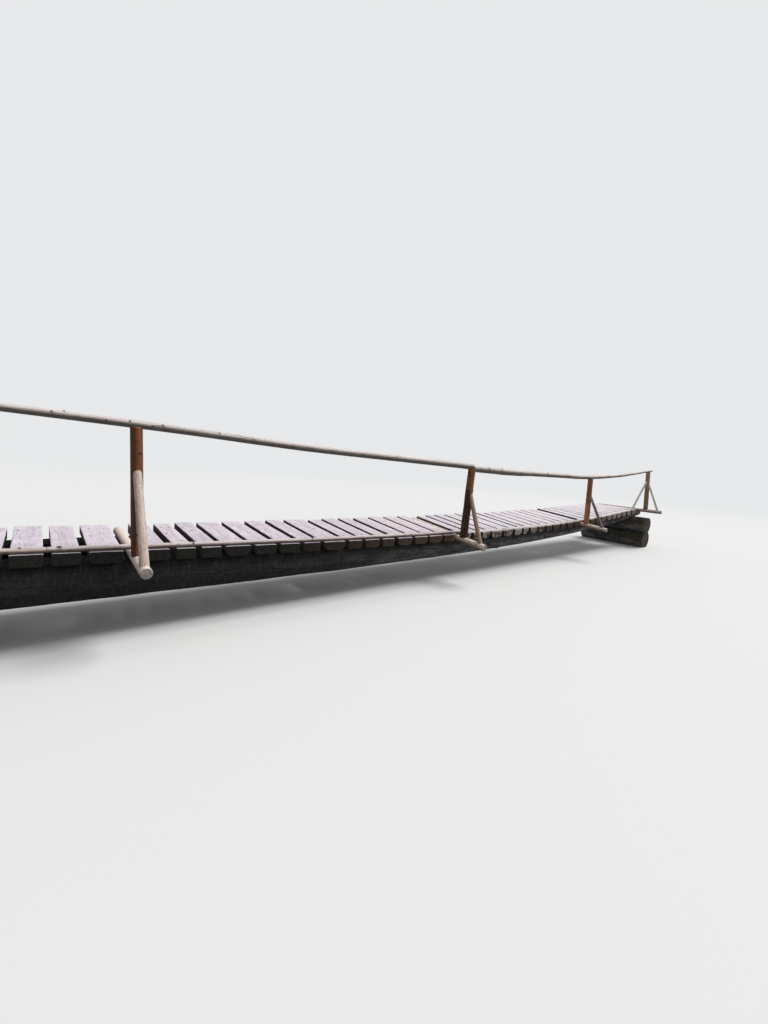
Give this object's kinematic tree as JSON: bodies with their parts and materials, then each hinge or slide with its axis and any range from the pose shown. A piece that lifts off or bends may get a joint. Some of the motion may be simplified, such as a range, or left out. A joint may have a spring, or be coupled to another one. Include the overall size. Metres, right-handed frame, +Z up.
{
  "type": "wooden footbridge",
  "caption": "Rustic log footbridge: sagging stringers on sleepers, half-round plank deck, kerb pole and a round-pole handrail along one side.",
  "frame": {"origin": "middle of the underside of the near lower sleeper, where the bridge stands on the ground", "axes": "+X along the bridge from the near bank to the far bank, +Y towards the side without a rail, +Z up; the handrail is on the -Y side"},
  "size_m": [15.207, 1.8026, 2.059],
  "materials": {
    "sleeper_wood": "rough barked log, damp and dark",
    "stringer_wood": "old peeled log, grey-black, checked and rough",
    "plank_wood": "weathered silver-grey sawn wood, matt, cross-sawn marks",
    "outrigger_wood": "peeled round pole, pinkish, matt",
    "post_wood": "round pole with thin orange-brown bark, matt",
    "brace_wood": "peeled pole, beige-brown, matt",
    "pale_brace_wood": "peeled pole, pale and dry, matt",
    "rail_wood": "peeled round pole, worn smooth and pale on top",
    "kerb_pole_wood": "peeled thin pole, beige to pinkish, matt",
    "kerb_strip_wood": "half-round strip, bleached, matt"
  },
  "bodies": {
    "root": {"near_sleeper_lower": "sleeper_wood", "near_sleeper_upper": "sleeper_wood", "far_sleeper_lower": "sleeper_wood", "far_sleeper_upper": "sleeper_wood", "stringer_rail_side": "stringer_wood", "stringer_open_side": "stringer_wood", "deck_planks_01": "plank_wood", "deck_planks_02": "plank_wood", "deck_planks_03": "plank_wood", "deck_planks_04": "plank_wood", "deck_planks_05": "plank_wood", "deck_planks_06": "plank_wood", "deck_planks_07": "plank_wood", "deck_planks_08": "plank_wood", "deck_planks_09": "plank_wood", "deck_planks_10": "plank_wood", "deck_planks_11": "plank_wood", "deck_planks_12": "plank_wood", "deck_planks_13": "plank_wood", "outrigger_1": "outrigger_wood", "post_1": "post_wood", "brace_1": "brace_wood", "outrigger_2": "outrigger_wood", "post_2": "post_wood", "brace_2": "brace_wood", "outrigger_3": "outrigger_wood", "post_3": "post_wood", "brace_3": "brace_wood", "outrigger_4": "outrigger_wood", "post_4": "post_wood", "brace_4": "brace_wood", "outrigger_5": "outrigger_wood", "post_5": "post_wood", "brace_5": "brace_wood", "end_brace_near": "pale_brace_wood", "end_brace_far": "pale_brace_wood", "handrail_near": "rail_wood", "handrail_far": "rail_wood", "kerb_pole_1": "kerb_pole_wood", "kerb_pole_2": "kerb_pole_wood", "kerb_strip_1": "kerb_strip_wood", "kerb_strip_2": "kerb_strip_wood"}
  },
  "joints": []
}
